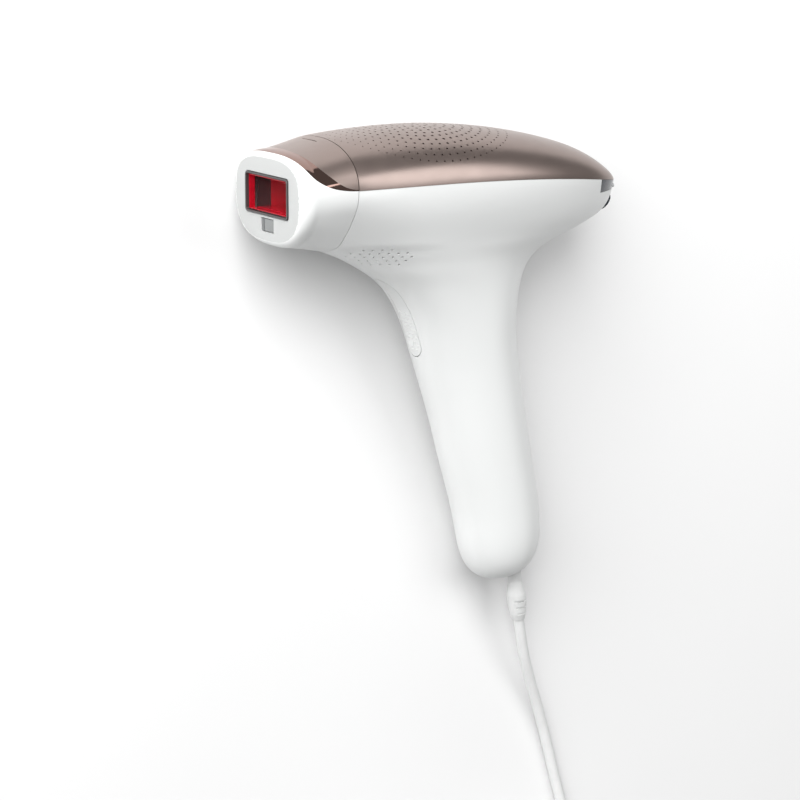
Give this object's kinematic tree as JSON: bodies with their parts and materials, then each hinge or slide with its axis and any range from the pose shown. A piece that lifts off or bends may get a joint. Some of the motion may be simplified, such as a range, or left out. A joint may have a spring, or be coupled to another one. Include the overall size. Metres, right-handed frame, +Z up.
{
  "type": "hand-held flash hair remover",
  "caption": "Pistol-shaped hand-held light-pulse hair remover with a removable window head, trigger in the grip, vented metallic top cover and a coiled lead to a wall adapter.",
  "frame": {"origin": "centre of the underside of the device as it lies on its side, without its lead", "axes": "+Z up from the surface it lies on, +Y from the grip end towards the top cover, +X from the light window towards the rear of the head"},
  "size_m": [0.164, 0.4035, 0.0664],
  "materials": {
    "white_plastic": "satin gloss white",
    "cover_lacquer": "satin metallic rose-taupe lacquer on plastic",
    "rose_trim": "polished rose-copper plating on plastic",
    "panel_plastic": "dark translucent panel",
    "light_pipe": "clear light pipes",
    "frame_plastic": "dark heat-resistant plastic",
    "filter_red": "red filter glass",
    "clear_glass": "clear",
    "reflector_metal": "bright anodised aluminium",
    "inner_plastic": "grey moulded",
    "sensor_window": "grey translucent",
    "circuit_board": "green laminate",
    "black_plastic": "black moulded",
    "aluminium": "plain",
    "steel": "plated",
    "copper_winding": "enamelled wire",
    "white_rubber": "satin white",
    "cord_jacket": "satin white",
    "pin_metal": "nickel plated"
  },
  "bodies": {
    "body": {"right_body_shell": "white_plastic", "left_body_shell": "white_plastic", "top_cover": "cover_lacquer", "rear_panel": "panel_plastic", "front_bulkhead": "inner_plastic", "uv_filter_glass": "clear_glass", "lamp_housing": "inner_plastic", "lamp_reflector": "reflector_metal", "flash_lamp": "clear_glass", "fan_frame": "black_plastic", "fan_motor": "steel", "chassis": "inner_plastic", "chassis_screws": "steel", "main_board": "circuit_board", "heatsink": "aluminium", "transformer": "copper_winding", "lamp_ignition_coil": "copper_winding", "flash_capacitor": "aluminium", "capacitor_cradle": "inner_plastic", "lead_clamp": "inner_plastic", "trigger_pin": "steel", "trigger_yoke": "inner_plastic", "trigger_spring": "steel", "flash_switch": "black_plastic", "switch_board": "circuit_board", "power_switch": "black_plastic", "button_board": "circuit_board", "intensity_lights": "light_pipe", "strain_relief": "white_rubber", "cord": "cord_jacket", "cord_coil": "cord_jacket", "cord_tail": "cord_jacket", "coil_tie": "black_plastic", "adapter_body": "white_plastic", "adapter_relief": "white_rubber", "adapter_pins": "pin_metal"},
    "attachment": {"attachment_shell": "white_plastic", "attachment_trim": "rose_trim", "attachment_cover": "cover_lacquer", "attachment_back_plate": "inner_plastic", "attachment_light_tube": "reflector_metal", "attachment_filter_glass": "filter_red", "safety_frame_spring": "steel", "skin_tone_sensor": "sensor_window"},
    "frame": {"safety_frame": "frame_plastic"},
    "trigger_lever": {"trigger": "white_plastic"},
    "button": {"power_button": "panel_plastic"},
    "rotor": {"fan_rotor": "black_plastic"}
  },
  "joints": [
    {"name": "attachment_release", "type": "slide", "parent": "body", "child": "attachment", "axis": [-1, 0, 0], "range_m": [0, 0.04]},
    {"name": "safety_frame_press", "type": "slide", "parent": "attachment", "child": "frame", "axis": [1, 0, 0], "range_m": [0, 0.0008], "stiffness_N_per_m": 400, "springref_m": -0.0004},
    {"name": "trigger_pull", "type": "hinge", "parent": "body", "child": "trigger_lever", "pos_m": [-0.0209, 0.032, 0.02847], "axis": [0, -0.1103, 0.9939], "range_deg": [0, 4], "stiffness_Nm_per_rad": 0.5, "springref_deg": -1.15},
    {"name": "power_press", "type": "slide", "parent": "body", "child": "button", "axis": [-0.8219, 0.5662, 0.0629], "range_m": [0, 0.0006], "stiffness_N_per_m": 600, "springref_m": -0.0004},
    {"name": "fan_spin", "type": "hinge", "parent": "body", "child": "rotor", "pos_m": [-0.0015, 0.0818, 0.034], "axis": [0, 0.9939, 0.1103], "continuous": true}
  ]
}
